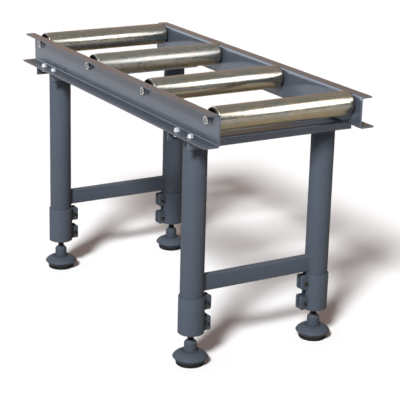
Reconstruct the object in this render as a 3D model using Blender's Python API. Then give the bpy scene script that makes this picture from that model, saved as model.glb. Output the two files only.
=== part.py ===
"""Roller stand for long workpieces: two folded side rails, four transport rollers between
them, and two leg frames whose telescopic legs are held by split clamp sleeves and stand on
levelling feet. It is modelled at its lowest setting, with the legs pushed in.

Metres, +Z up. X runs across the stand, along the rollers, and Y runs along the rails. The
origin lies on the floor under the middle of the stand.
"""

import math

import bmesh
import bpy
from mathutils import Matrix, Vector

# Driving dimensions: fits
GAP = 0.0003  # left between pieces that touch or are fastened
RUNNING_GAP = 0.0005  # left round what slides or turns
HOLE_PLAY = 0.0005  # between a bolt and the edge of its hole

# Driving dimensions: rails
RAIL_LENGTH = 1.000
RAIL_TOP = 0.6507  # height of the rails above the floor
RAIL_SHEET = 0.004
RAIL_BEND = 0.003  # inside radius of the folds
TOP_FLANGE = 0.0264  # from the web's outer face to the tip
BOTTOM_FLANGE = 0.0362

# Driving dimensions: rollers
ROLLER_COUNT = 4
ROLLER_LENGTH = 0.360
ROLLER_DIAMETER = 0.058
ROLLER_WALL = 0.002
ROLLER_RISE = 0.0067  # how far the rollers stand above the rails
ROLLER_SIDE_GAP = 0.0113  # from a roller's end to the rail's web
ROLLER_FLOOR_GAP = 0.0255  # from under a roller to the rail's underside
ROLLER_FROM_END = 0.0455  # first axle to the rail's end
AXLE_DIAMETER = 0.012
AXLE_BOLT = 0.010
CAP_RECESS = 0.0022  # the caps lie this far inside the tube's ends
CAP_DEPTH = 0.016
CAP_DISH = 0.005  # depth of the dished face round the hub
HUB_WALL = 0.0045

# Driving dimensions: crossmembers and their bolts
CROSS_SHEET = 0.003
CROSS_BEND = 0.002
CROSS_DEPTH = 0.0216  # overall depth of the folded lips
CROSS_SETBACK = 0.0045  # its ends lie inside the rails' lower flange tips
RAIL_BOLT = 0.008
BOLT_LEG_SPACE = 0.007  # how much wider than the leg the bolts stand
BOLT_LIP_SPACE = 0.005  # from a bolt head's corner to the lip

# Driving dimensions: legs
LEG_DIAMETER = 0.058
LEG_WALL = 0.0035
LEG_FROM_END = 0.129  # leg axis to the rail's end
LEG_INSET = 0.0123  # leg axis inside the web's inner face
INNER_WALL = 0.003
INNER_TOP_SPACE = 0.055  # above the inner leg, when it is pushed in
INNER_RECESS = 0.002  # the inner leg's foot end lies this far up inside the sleeve
CROSSBAR_HEIGHT = 0.040
CROSSBAR_DEPTH = 0.020
CROSSBAR_WALL = 0.002
CROSSBAR_ROUND = 0.003
CROSSBAR_LIFT = 0.009  # above the clamp sleeves

# Driving dimensions: clamp sleeves
SLEEVE_WALL = 0.003
SLEEVE_MARGIN = 0.0025  # above the upper lugs and below the lower ones
SLIT = 0.008
EAR_THICKNESS = 0.008
EAR_ROUND = 0.004
EAR_EDGE = 0.001  # how much longer an ear is than its bolt's head is wide
LUG_HEIGHT = 0.036
LUG_SPACING = 0.0175  # between the upper and the lower lugs
CLAMP_BOLT = 0.006
BOLT_END = 0.0035  # thread that shows past a nut
SLOT_STOP = 0.010  # the leg's slot ends this far below the sleeve's top

# Driving dimensions: levelling feet
SPINDLE_DIAMETER = 0.016
SPINDLE_SHOWN = 0.0185  # between foot and clamp sleeve
SPINDLE_SPARE = 0.043  # inside the inner leg, above its plug
SPINDLE_TIP = 0.0015  # chamfer at the spindle's top
BALL_SHOULDER = 0.0013  # how much the spindle's swivel end is wider than the spindle
BALL_HEIGHT = 0.015
PLUG_DEPTH = 0.025
FOOT_DIAMETER = 0.087
FOOT_HEIGHT = 0.062
FOOT_RIM = 0.017  # height of the widest place
FOOT_EDGE = 0.006  # height of the rim's side above it
FOOT_DRAFT = 0.0025  # how far that side leans in
FOOT_DOME = 0.013  # rise of the dome above the rim
FOOT_SKIRT = 0.0075  # how far the underside draws in towards the pad
FOOT_LAND = 0.0045  # the pad's edge round its plug
BOSS_WALL = 0.0055
BOSS_TAPER = 0.0105  # height of the boss's tapered top
BOSS_LIP = 0.0007  # flat left round the spindle at the very top
BOSS_ROUND = 0.010
BOSS_FILLET = 0.003  # where the boss runs out into the dome
SOCKET_FLOOR = 0.0205  # height of the socket's lower end
PAD_DIAMETER = 0.070
PAD_HEIGHT = 0.0095
PAD_PLUG = 0.005
PAD_CHAMFER = 0.0015

# How finely round shapes are drawn
TUBE_SIDES = 26
TURNED_SIDES = 18
BOLT_SIDES = 8
ARC_STEPS = 2
DOME_STEPS = 3
SHARP_ANGLE = math.radians(35)
SEAM = 1e-6  # points this close are one

# Bolt proportions, as shares of the thread's diameter
HEX_ACROSS = 1.625
HEAD_HEIGHT = 0.66
NUT_HEIGHT = 0.8
WASHER_ACROSS = 2.0
WASHER_HEIGHT = 0.2

# Sizes that follow from the driving dimensions
RAIL_HEIGHT = ROLLER_DIAMETER - ROLLER_RISE + ROLLER_FLOOR_GAP
RAIL_BOTTOM = RAIL_TOP - RAIL_HEIGHT
WEB_INNER = ROLLER_LENGTH / 2 + ROLLER_SIDE_GAP
WEB_OUTER = WEB_INNER + RAIL_SHEET
TOP_TIP = WEB_OUTER + TOP_FLANGE
BOTTOM_TIP = WEB_OUTER + BOTTOM_FLANGE
ROLLER_RADIUS = ROLLER_DIAMETER / 2
AXLE_HEIGHT = RAIL_TOP + ROLLER_RISE - ROLLER_RADIUS
AXLE_RADIUS = AXLE_DIAMETER / 2
ROLLER_PITCH = (RAIL_LENGTH - 2 * ROLLER_FROM_END) / (ROLLER_COUNT - 1)
ROLLER_PLACES = [ROLLER_FROM_END - RAIL_LENGTH / 2 + ROLLER_PITCH * n for n in range(ROLLER_COUNT)]

LEG_RADIUS = LEG_DIAMETER / 2
LEG_X = WEB_INNER - LEG_INSET
LEG_Y = RAIL_LENGTH / 2 - LEG_FROM_END
LEG_BOTTOM = FOOT_HEIGHT + SPINDLE_SHOWN
CROSS_TOP = RAIL_BOTTOM - GAP
LEG_TOP = CROSS_TOP - CROSS_SHEET - GAP

RAIL_BOLT_X = (WEB_OUTER + BOTTOM_TIP) / 2
RAIL_BOLT_STEP = (LEG_DIAMETER + BOLT_LEG_SPACE) / 2
RAIL_BOLT_CORNER = RAIL_BOLT * HEX_ACROSS / math.sqrt(3)
CROSS_HALF = RAIL_BOLT_STEP + RAIL_BOLT_CORNER + BOLT_LIP_SPACE + CROSS_SHEET
CROSS_END = BOTTOM_TIP - CROSS_SETBACK

SLEEVE_BORE = LEG_RADIUS + GAP
SLEEVE_RADIUS = SLEEVE_BORE + SLEEVE_WALL
SLEEVE_HEIGHT = 2 * (SLEEVE_MARGIN + LUG_HEIGHT) + LUG_SPACING
EAR_HALF = SLIT / 2 + EAR_THICKNESS
EAR_TIP = SLEEVE_RADIUS + CLAMP_BOLT * HEX_ACROSS + EAR_EDGE
CLAMP_BOLT_X = (SLEEVE_RADIUS + EAR_TIP) / 2
LUG_MIDDLES = {
    "lower": SLEEVE_MARGIN + LUG_HEIGHT / 2,
    "upper": SLEEVE_HEIGHT - SLEEVE_MARGIN - LUG_HEIGHT / 2,
}
CROSSBAR_BOTTOM = LEG_BOTTOM + SLEEVE_HEIGHT + CROSSBAR_LIFT

INNER_RADIUS = LEG_RADIUS - LEG_WALL - RUNNING_GAP
INNER_BORE = INNER_RADIUS - INNER_WALL
INNER_BOTTOM = LEG_BOTTOM + INNER_RECESS
INNER_TOP = LEG_TOP - INNER_TOP_SPACE
PLUG_TOP = INNER_BOTTOM + PLUG_DEPTH

SPINDLE_RADIUS = SPINDLE_DIAMETER / 2
BALL_RADIUS = SPINDLE_RADIUS + BALL_SHOULDER
SOCKET_RADIUS = BALL_RADIUS + RUNNING_GAP
BALL_BOTTOM = SOCKET_FLOOR + RUNNING_GAP
BALL_TOP = BALL_BOTTOM + BALL_HEIGHT
SPINDLE_TOP = PLUG_TOP + SPINDLE_SPARE
BOSS_RADIUS = SOCKET_RADIUS + BOSS_WALL
FOOT_RADIUS = FOOT_DIAMETER / 2
PAD_RADIUS = PAD_DIAMETER / 2
PAD_PLUG_RADIUS = PAD_RADIUS - FOOT_LAND


def material(name, colour, metallic, roughness):
    made = bpy.data.materials.new(name)
    made.use_nodes = True
    surface = made.node_tree.nodes["Principled BSDF"]
    surface.inputs["Base Color"].default_value = (*colour, 1.0)
    surface.inputs["Metallic"].default_value = metallic
    surface.inputs["Roughness"].default_value = roughness
    return made


def rounded(corners, steps=ARC_STEPS):
    """Flat outline through corners (u, v, radius), each turned by an arc of its radius."""
    points = []
    for index, (u, v, radius) in enumerate(corners):
        here = Vector((u, v))
        if not radius:
            points.append(here)
            continue
        back = (Vector(corners[index - 1][:2]) - here).normalized()
        ahead = (Vector(corners[(index + 1) % len(corners)][:2]) - here).normalized()
        half_angle = back.angle(ahead) / 2
        middle = here + (back + ahead).normalized() * radius / math.sin(half_angle)
        start = here + back * radius / math.tan(half_angle) - middle
        end = here + ahead * radius / math.tan(half_angle) - middle
        for step in range(steps + 1):
            points.append(middle + start.slerp(end, step / steps) * radius)
    return points


def polygon(radius, sides, turn=0.0):
    """Regular outline with its corners on a circle."""
    angles = [turn + 2 * math.pi * n / sides for n in range(sides)]
    return [(radius * math.cos(angle), radius * math.sin(angle)) for angle in angles]


def hexagon(thread):
    """Outline of a hex head or nut, with a flat towards each end of its first axis."""
    return polygon(thread * HEX_ACROSS / math.sqrt(3), 6, math.pi / 6)


def finished(bm):
    """Mesh of a closed form, faces outwards, smooth but for its edges."""
    bmesh.ops.recalc_face_normals(bm, faces=bm.faces)
    mesh = bpy.data.meshes.new("form")
    bm.to_mesh(mesh)
    bm.free()
    return mesh


def prism(outline, axis, start, end):
    """An outline in the other two axes, pushed along an axis from start to end."""
    place = "XYZ".index(axis)
    bm = bmesh.new()
    corners = []
    for point in outline:
        position = list(point)
        position.insert(place, start)
        corners.append(bm.verts.new(position))
    pushed = bmesh.ops.extrude_face_region(bm, geom=[bm.faces.new(corners)])
    verts = [item for item in pushed["geom"] if isinstance(item, bmesh.types.BMVert)]
    way = Vector((0, 0, 0))
    way[place] = end - start
    bmesh.ops.translate(bm, verts=verts, vec=way)
    return finished(bm)


def rod(radius, axis, start, end, sides=BOLT_SIDES):
    return prism(polygon(radius, sides), axis, start, end)


def turned(outline, sides=TURNED_SIDES):
    """An outline (radius, height), spun round Z. It is a loop, or starts and ends on the axis."""
    bm = bmesh.new()
    verts = [bm.verts.new((radius, 0, height)) for radius, height in outline]
    edges = [bm.edges.new(pair) for pair in zip(verts, verts[1:])]
    if outline[0][0] > 0:
        edges.append(bm.edges.new((verts[-1], verts[0])))
    bmesh.ops.spin(
        bm, geom=verts + edges, cent=(0, 0, 0), axis=(0, 0, 1), angle=2 * math.pi, steps=sides
    )
    bmesh.ops.remove_doubles(bm, verts=bm.verts, dist=SEAM)
    return finished(bm)


def tube(radius, bore, bottom, top, sides=TUBE_SIDES):
    return turned([(bore, bottom), (radius, bottom), (radius, top), (bore, top)], sides)


def moved(mesh, x=0.0, y=0.0, z=0.0):
    copy = mesh.copy()
    copy.transform(Matrix.Translation((x, y, z)))
    return copy


def combined(operation, base, tools):
    """Mesh of a base after each tool has been joined to it or cut from it."""
    body = bpy.data.objects.new("base", base)
    bpy.context.collection.objects.link(body)
    helpers = [body]
    for tool in tools:
        helper = bpy.data.objects.new("tool", tool)
        bpy.context.collection.objects.link(helper)
        helpers.append(helper)
        modifier = body.modifiers.new("combine", "BOOLEAN")
        modifier.operation = operation
        modifier.object = helper
    graph = bpy.context.evaluated_depsgraph_get()
    mesh = bpy.data.meshes.new_from_object(body.evaluated_get(graph))
    for helper in helpers:
        bpy.data.objects.remove(helper)
    return mesh


def joined(base, *tools):
    return combined("UNION", base, tools)


def cut(base, *tools):
    return combined("DIFFERENCE", base, tools)


def together(meshes):
    """One mesh of several that stand apart, so that one cut takes them all."""
    bm = bmesh.new()
    for mesh in meshes:
        bm.from_mesh(mesh)
    return finished(bm)


def axis_point(name, location):
    empty = bpy.data.objects.new(name, None)
    empty.location = location
    bpy.context.collection.objects.link(empty)
    return empty


def piece(name, mesh, finish, parent=None):
    """A named sub-part, with its finish, on its parent's axis."""
    mesh.materials.clear()
    mesh.materials.append(finish)
    mesh.shade_smooth()
    mesh.set_sharp_from_angle(angle=SHARP_ANGLE)
    made = bpy.data.objects.new(name, mesh)
    made.parent = parent
    bpy.context.collection.objects.link(made)
    return made


def rail_mesh(side):
    """Folded C-section with its flanges outwards. side is -1 on the left and 1 on the right."""
    outer_bend = RAIL_BEND + RAIL_SHEET
    section = rounded([
        (WEB_INNER, RAIL_BOTTOM, outer_bend),
        (BOTTOM_TIP, RAIL_BOTTOM, 0),
        (BOTTOM_TIP, RAIL_BOTTOM + RAIL_SHEET, 0),
        (WEB_OUTER, RAIL_BOTTOM + RAIL_SHEET, RAIL_BEND),
        (WEB_OUTER, RAIL_TOP - RAIL_SHEET, RAIL_BEND),
        (TOP_TIP, RAIL_TOP - RAIL_SHEET, 0),
        (TOP_TIP, RAIL_TOP, 0),
        (WEB_INNER, RAIL_TOP, outer_bend),
    ])
    section = [(side * u, v) for u, v in section]
    mesh = prism(section, "Y", -RAIL_LENGTH / 2, RAIL_LENGTH / 2)
    axle_hole = rod(
        AXLE_BOLT / 2 + HOLE_PLAY, "X", side * (WEB_INNER - RAIL_SHEET), side * (WEB_OUTER + RAIL_SHEET)
    )
    bolt_hole = rod(
        RAIL_BOLT / 2 + HOLE_PLAY, "Z", RAIL_BOTTOM - RAIL_SHEET, RAIL_BOTTOM + 2 * RAIL_SHEET
    )
    holes = [moved(axle_hole, y=place, z=AXLE_HEIGHT) for place in ROLLER_PLACES]
    for end in (-LEG_Y, LEG_Y):
        for step in (-RAIL_BOLT_STEP, RAIL_BOLT_STEP):
            holes.append(moved(bolt_hole, x=side * RAIL_BOLT_X, y=end + step))
    return cut(mesh, together(holes))


def cap_mesh(side):
    """Bearing cap with a dished face and a hub round the axle, along X in a roller's end."""
    outer = ROLLER_RADIUS - ROLLER_WALL - GAP
    bore = AXLE_RADIUS + RUNNING_GAP
    hub = bore + HUB_WALL
    mesh = turned([
        (bore, 0),
        (hub, 0),
        (hub, -CAP_DISH),
        (outer, 0),
        (outer, -CAP_DEPTH),
        (bore, -CAP_DEPTH),
    ])
    mesh.transform(Matrix.Translation((0, 0, ROLLER_LENGTH / 2 - CAP_RECESS)))
    mesh.transform(Matrix.Rotation(side * math.pi / 2, 4, "Y"))
    return mesh


def axle_mesh():
    """Fixed axle between the webs, with the washer and hex head of the bolt in each end."""
    washer_start = WEB_OUTER + GAP
    head_start = washer_start + AXLE_BOLT * WASHER_HEIGHT
    head_end = head_start + AXLE_BOLT * HEAD_HEIGHT
    overlap = AXLE_BOLT * WASHER_HEIGHT / 2
    tools = [rod(AXLE_BOLT / 2, "X", overlap - head_end, head_end - overlap)]
    for side in (-1, 1):
        tools.append(
            rod(AXLE_BOLT * WASHER_ACROSS / 2, "X", side * washer_start, side * head_start, TURNED_SIDES)
        )
        tools.append(
            prism(hexagon(AXLE_BOLT), "X", side * (head_start - overlap), side * head_end)
        )
    shoulder = WEB_INNER - GAP
    return joined(rod(AXLE_RADIUS, "X", -shoulder, shoulder), *tools)


def rail_bolt_mesh():
    """Bolt up through the crossmember's top, with its washer and nut above the rail's flange."""
    seat = GAP + RAIL_SHEET + GAP
    washer_top = seat + RAIL_BOLT * WASHER_HEIGHT
    nut_top = washer_top + RAIL_BOLT * NUT_HEIGHT
    head_bottom = -CROSS_SHEET - RAIL_BOLT * HEAD_HEIGHT
    overlap = RAIL_BOLT * WASHER_HEIGHT / 2
    head = prism(hexagon(RAIL_BOLT), "Z", head_bottom, overlap - CROSS_SHEET)
    return joined(
        rod(RAIL_BOLT / 2, "Z", head_bottom + overlap, nut_top + BOLT_END),
        head,
        rod(RAIL_BOLT * WASHER_ACROSS / 2, "Z", seat, washer_top, TURNED_SIDES),
        prism(hexagon(RAIL_BOLT), "Z", washer_top - overlap, nut_top),
    )


def crossmember_mesh():
    """Inverted channel across the rails' undersides, with its four bolts, for the leg frame at Y = 0."""
    outer_bend = CROSS_BEND + CROSS_SHEET
    inside = CROSS_HALF - CROSS_SHEET
    lip_end = CROSS_TOP - CROSS_DEPTH
    section = rounded([
        (-CROSS_HALF, lip_end, 0),
        (-inside, lip_end, 0),
        (-inside, CROSS_TOP - CROSS_SHEET, CROSS_BEND),
        (inside, CROSS_TOP - CROSS_SHEET, CROSS_BEND),
        (inside, lip_end, 0),
        (CROSS_HALF, lip_end, 0),
        (CROSS_HALF, CROSS_TOP, outer_bend),
        (-CROSS_HALF, CROSS_TOP, outer_bend),
    ])
    bolt = rail_bolt_mesh()
    bolts = [
        moved(bolt, x, y, CROSS_TOP)
        for x in (-RAIL_BOLT_X, RAIL_BOLT_X)
        for y in (-RAIL_BOLT_STEP, RAIL_BOLT_STEP)
    ]
    return joined(prism(section, "X", -CROSS_END, CROSS_END), *bolts)


def crossbar_mesh():
    """Rectangular tube between two legs, with its ends coped to fit round them."""
    top = CROSSBAR_BOTTOM + CROSSBAR_HEIGHT
    half = CROSSBAR_DEPTH / 2
    outside = rounded([
        (-half, CROSSBAR_BOTTOM, CROSSBAR_ROUND),
        (half, CROSSBAR_BOTTOM, CROSSBAR_ROUND),
        (half, top, CROSSBAR_ROUND),
        (-half, top, CROSSBAR_ROUND),
    ])
    half -= CROSSBAR_WALL
    hollow = [
        (-half, CROSSBAR_BOTTOM + CROSSBAR_WALL),
        (half, CROSSBAR_BOTTOM + CROSSBAR_WALL),
        (half, top - CROSSBAR_WALL),
        (-half, top - CROSSBAR_WALL),
    ]
    cope = rod(LEG_RADIUS + GAP, "Z", LEG_BOTTOM, LEG_TOP, TUBE_SIDES)
    return cut(
        prism(outside, "X", -LEG_X, LEG_X),
        prism(hollow, "X", -LEG_X - LEG_RADIUS, LEG_X + LEG_RADIUS),
        moved(cope, x=-LEG_X),
        moved(cope, x=LEG_X),
    )


def slit_tool(reach, bottom, top):
    """Box that opens a slit towards +X, from the axis to its reach."""
    half = SLIT / 2
    return prism([(0, -half), (reach, -half), (reach, half), (0, half)], "Z", bottom, top)


def leg_tube_mesh():
    """Leg tube with the slot that lets the clamp sleeve squeeze its lower end."""
    slot_top = LEG_BOTTOM + SLEEVE_HEIGHT - SLOT_STOP
    slot = slit_tool(LEG_DIAMETER, LEG_BOTTOM - SLIT, slot_top)
    return cut(tube(LEG_RADIUS, LEG_RADIUS - LEG_WALL, LEG_BOTTOM, LEG_TOP), slot)


def sleeve_mesh():
    """Split collar with an upper and a lower pair of ears, towards +X."""
    bottom = LEG_BOTTOM
    top = bottom + SLEEVE_HEIGHT
    lugs = []
    holes = []
    for middle in LUG_MIDDLES.values():
        low = bottom + middle - LUG_HEIGHT / 2
        high = bottom + middle + LUG_HEIGHT / 2
        outline = rounded([
            (0, low, 0),
            (EAR_TIP, low, EAR_ROUND),
            (EAR_TIP, high, EAR_ROUND),
            (0, high, 0),
        ])
        lugs.append(prism(outline, "Y", -EAR_HALF, EAR_HALF))
        hole = rod(CLAMP_BOLT / 2 + HOLE_PLAY, "Y", -EAR_TIP, EAR_TIP)
        holes.append(moved(hole, x=CLAMP_BOLT_X, z=bottom + middle))
    collar = joined(rod(SLEEVE_RADIUS, "Z", bottom, top, TUBE_SIDES), *lugs)
    bore = rod(SLEEVE_BORE, "Z", bottom - SLIT, top + SLIT, TUBE_SIDES)
    return cut(collar, bore, slit_tool(2 * EAR_TIP, bottom - SLIT, top + SLIT), *holes)


def clamp_bolt_mesh():
    """Bolt along Y through a pair of ears, its head towards -Y and its nut tight on the other ear."""
    seat = EAR_HALF + GAP
    head_height = CLAMP_BOLT * HEAD_HEIGHT
    nut_end = seat + CLAMP_BOLT * NUT_HEIGHT
    return joined(
        rod(CLAMP_BOLT / 2, "Y", -seat - head_height / 2, nut_end + BOLT_END),
        prism(hexagon(CLAMP_BOLT), "Y", -seat - head_height, -seat),
        prism(hexagon(CLAMP_BOLT), "Y", seat, nut_end),
    )


def plug_mesh():
    """Threaded plug in the inner leg's lower end."""
    return tube(
        INNER_BORE - RUNNING_GAP, SPINDLE_RADIUS + RUNNING_GAP, INNER_BOTTOM, PLUG_TOP, TURNED_SIDES
    )


def spindle_mesh():
    """Threaded spindle with a thicker swivel end that sits in the foot's socket."""
    return turned([
        (0, BALL_BOTTOM),
        (BALL_RADIUS - BALL_SHOULDER, BALL_BOTTOM),
        (BALL_RADIUS, BALL_BOTTOM + BALL_SHOULDER),
        (BALL_RADIUS, BALL_TOP),
        (SPINDLE_RADIUS, BALL_TOP + BALL_SHOULDER),
        (SPINDLE_RADIUS, SPINDLE_TOP - SPINDLE_TIP),
        (SPINDLE_RADIUS - SPINDLE_TIP, SPINDLE_TOP),
        (0, SPINDLE_TOP),
    ], BOLT_SIDES)


def foot_mesh():
    """Domed foot with a tapered boss, a swivel socket in the boss and a recess for the pad."""
    neck = SPINDLE_RADIUS + RUNNING_GAP
    underside = PAD_HEIGHT + GAP
    recess = PAD_PLUG_RADIUS + GAP
    recess_top = underside + PAD_PLUG
    shoulder = BALL_TOP + RUNNING_GAP
    edge = FOOT_RADIUS - FOOT_DRAFT
    dome = []
    for step in range(DOME_STEPS + 1):
        radius = BOSS_RADIUS + (edge - BOSS_RADIUS) * step / DOME_STEPS
        height = FOOT_RIM + FOOT_EDGE + FOOT_DOME * (1 - (radius / edge) ** 2)
        dome.append((radius, height, 0 if step else BOSS_FILLET))
    return turned(rounded([
        (neck, FOOT_HEIGHT, 0),
        (neck + BOSS_LIP, FOOT_HEIGHT, 0),
        (BOSS_RADIUS, FOOT_HEIGHT - BOSS_TAPER, BOSS_ROUND),
        *dome,
        (FOOT_RADIUS, FOOT_RIM, 0),
        (FOOT_RADIUS - FOOT_SKIRT, underside, 0),
        (recess, underside, 0),
        (recess, recess_top, 0),
        (SOCKET_RADIUS, SOCKET_FLOOR, 0),
        (SOCKET_RADIUS, shoulder, 0),
        (neck, shoulder + BALL_SHOULDER, 0),
    ]))


def pad_mesh():
    """Rubber pad with a plug that fits up into the foot."""
    return turned([
        (0, 0),
        (PAD_RADIUS - PAD_CHAMFER, 0),
        (PAD_RADIUS, PAD_CHAMFER),
        (PAD_RADIUS, PAD_HEIGHT),
        (PAD_PLUG_RADIUS, PAD_HEIGHT),
        (PAD_PLUG_RADIUS, PAD_HEIGHT + PAD_PLUG),
        (0, PAD_HEIGHT + PAD_PLUG),
    ])


def build_rollers(zinc, bolt_zinc, black):
    roller = tube(ROLLER_RADIUS, ROLLER_RADIUS - ROLLER_WALL, -ROLLER_LENGTH / 2, ROLLER_LENGTH / 2)
    roller.transform(Matrix.Rotation(math.pi / 2, 4, "Y"))
    left_cap = cap_mesh(-1)
    right_cap = cap_mesh(1)
    axle = axle_mesh()
    for number, place in enumerate(ROLLER_PLACES, start=1):
        axis = axis_point(f"roller_{number}_axis", (0, place, AXLE_HEIGHT))
        piece(f"roller_{number}_tube", roller, zinc, axis)
        piece(f"roller_{number}_left_cap", left_cap, black, axis)
        piece(f"roller_{number}_right_cap", right_cap, black, axis)
        piece(f"roller_{number}_axle", axle, bolt_zinc, axis)


def build_leg(name, axis, meshes, finishes):
    """One leg, from its tube down to the foot pad, on its axis."""
    for part, finish in (
        ("leg_tube", "paint"),
        ("clamp_sleeve", "paint"),
        ("inner_leg", "steel"),
        ("leg_plug", "steel"),
        ("spindle", "dark"),
        ("foot_plate", "paint"),
        ("foot_pad", "rubber"),
    ):
        piece(f"{name}_{part}", meshes[part], finishes[finish], axis)
    for level, middle in LUG_MIDDLES.items():
        bolt = piece(f"{name}_clamp_bolt_{level}", meshes["clamp_bolt"], finishes["dark"], axis)
        bolt.location = (CLAMP_BOLT_X, 0, LEG_BOTTOM + middle)
        # The heads all face the stand's front, also on the legs that are turned half round.
        bolt.rotation_euler.x = axis.rotation_euler.z


def build_leg_frames(finishes):
    meshes = {
        "leg_tube": leg_tube_mesh(),
        "clamp_sleeve": sleeve_mesh(),
        "inner_leg": tube(INNER_RADIUS, INNER_BORE, INNER_BOTTOM, INNER_TOP, TURNED_SIDES),
        "leg_plug": plug_mesh(),
        "spindle": spindle_mesh(),
        "foot_plate": foot_mesh(),
        "foot_pad": pad_mesh(),
        "clamp_bolt": clamp_bolt_mesh(),
    }
    crossmember = crossmember_mesh()
    crossbar = crossbar_mesh()
    for end, y in (("front", -LEG_Y), ("rear", LEG_Y)):
        middle = axis_point(f"{end}_frame", (0, y, 0))
        piece(f"{end}_crossmember", crossmember, finishes["paint"], middle)
        piece(f"{end}_crossbar", crossbar, finishes["paint"], middle)
        for side, x, turn in (("left", -LEG_X, 0), ("right", LEG_X, math.pi)):
            axis = axis_point(f"{end}_{side}_axis", (x, y, 0))
            axis.rotation_euler.z = turn
            build_leg(f"{end}_{side}", axis, meshes, finishes)


def main():
    for old in list(bpy.data.objects):
        bpy.data.objects.remove(old)
    finishes = {
        "paint": material("anthracite_paint", (0.105, 0.112, 0.130), 0.0, 0.42),
        "zinc": material("roller_zinc", (0.52, 0.47, 0.34), 1.0, 0.32),
        "bolt": material("bright_zinc", (0.72, 0.73, 0.74), 1.0, 0.28),
        "steel": material("plain_steel", (0.45, 0.46, 0.47), 1.0, 0.38),
        "dark": material("black_steel", (0.018, 0.018, 0.019), 0.4, 0.45),
        "black": material("black_cap", (0.016, 0.016, 0.017), 0.0, 0.5),
        "rubber": material("black_rubber", (0.014, 0.013, 0.013), 0.0, 0.75),
    }
    piece("left_rail", rail_mesh(-1), finishes["paint"])
    piece("right_rail", rail_mesh(1), finishes["paint"])
    build_rollers(finishes["zinc"], finishes["bolt"], finishes["black"])
    build_leg_frames(finishes)


main()
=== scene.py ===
# %% [markdown]
# # A roller stand for long workpieces
# Two folded side rails carry four transport rollers, and two leg frames carry the rails.
# The legs telescope, a split clamp sleeve holds each one, and levelling feet stand on the floor.
# The imported CAD model is loaded first and never changed. It says where everything is, in metres.

# %% Load the frame
import math

import bmesh
import bpy
from mathutils import Matrix, Vector


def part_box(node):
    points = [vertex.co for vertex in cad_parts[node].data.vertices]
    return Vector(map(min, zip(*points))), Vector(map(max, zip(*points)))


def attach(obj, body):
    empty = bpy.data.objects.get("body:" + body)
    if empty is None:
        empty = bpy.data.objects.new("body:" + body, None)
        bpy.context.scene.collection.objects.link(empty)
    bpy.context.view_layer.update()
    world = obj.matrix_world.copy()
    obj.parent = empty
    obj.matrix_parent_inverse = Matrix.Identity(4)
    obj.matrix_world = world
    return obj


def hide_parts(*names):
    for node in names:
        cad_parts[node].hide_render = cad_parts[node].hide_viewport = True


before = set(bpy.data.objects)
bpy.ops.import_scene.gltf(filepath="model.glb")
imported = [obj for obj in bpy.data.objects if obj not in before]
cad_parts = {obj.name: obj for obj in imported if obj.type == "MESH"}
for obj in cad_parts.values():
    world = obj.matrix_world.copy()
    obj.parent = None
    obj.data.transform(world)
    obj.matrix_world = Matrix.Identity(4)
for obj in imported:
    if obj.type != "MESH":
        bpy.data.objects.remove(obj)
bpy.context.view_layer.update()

scene = bpy.context.scene

# %% [markdown]
# ## Measuring the frame
# Sizes could be copied from a drawing, but would no longer fit when the drawing changes. So they are
# read off the CAD pieces' boxes wherever a box shows them: where a piece starts and ends along an axis,
# where its middle lies, and half its size.

# %% Measuring helpers
def extent(node, axis):
    """Where a CAD node starts and ends along an axis, to a hundredth of a millimetre."""
    place = "XYZ".index(axis)
    return [round(corner[place], 5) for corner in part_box(node)]


def middle(node, axis):
    return round(sum(extent(node, axis)) / 2, 6)


def half_size(node, axis):
    start, end = extent(node, axis)
    return round((end - start) / 2, 4)


print("a rail starts and ends along Y at", *extent("left_rail", "Y"))

# %% [markdown]
# ## The camera
# The photograph was taken from the front left, well above the rollers. A camera could be aimed by eye,
# but straight edges of the stand were measured in the picture, and a lens and a place fitted to them.
# The result is a place and three directions: right and up in the picture, and back out of it.

# %% Camera
picture_right = Vector((0.86470329, -0.50165299, 0.02514941))
picture_up = Vector((0.13357763, 0.27793873, 0.95126604))
picture_back = Vector((-0.48419545, -0.81920348, 0.30734416))
camera_place = Vector((-1.7430995, -3.0445539, 1.4145637))


def put(name, data):
    made = bpy.data.objects.new(name, data)
    scene.collection.objects.link(made)
    return made


lens = bpy.data.cameras.new("photo_camera")
lens.sensor_width = 36.0
lens.lens = 125.76
lens.clip_end = 80.0
camera = put("photo_camera", lens)
camera.matrix_world = Matrix.Translation(camera_place) @ Matrix(
    (picture_right, picture_up, picture_back)
).transposed().to_4x4()
scene.camera = camera
print("camera", round(camera_place.length, 2), "m from the middle of the floor")

# %% [markdown]
# ## Light
# The picture is a studio shot on white paper. One large soft light at the front left lights the stand
# and draws its shadows. A sun with a wide disc stands for it, because it lights the whole floor evenly.
# The white band along each roller is another light, a softbox at the front right. Metal shows it as a
# shape with edges, so it is an area lamp. Only mirrors see it; sun and studio light paint and paper.

# %% Key light and softbox
towards_key = Vector((-0.70, -0.61, 0.78))
key = bpy.data.lights.new("key_light", "SUN")
key.energy = 4.60
key.angle = math.radians(12)
key.color = (0.94, 0.985, 1.0)
key_lamp = put("key_light", key)
key_lamp.rotation_euler = towards_key.to_track_quat("Z", "Y").to_euler()

front_rollers = Vector((0.0, -0.35, 0.63))
softbox = bpy.data.lights.new("softbox", "AREA")
softbox.shape = "RECTANGLE"
softbox.size = 1.10
softbox.size_y = 1.25
softbox.energy = 28.0
softbox_lamp = put("softbox", softbox)
softbox_lamp.location = (1.05, -1.65, 1.50)
to_softbox = softbox_lamp.location - front_rollers
softbox_lamp.rotation_euler = to_softbox.to_track_quat("Z", "Y").to_euler()
softbox_lamp.visible_diffuse = False
softbox_lamp.visible_camera = False
print("softbox", round(to_softbox.length, 2), "m from the front rollers")

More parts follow.
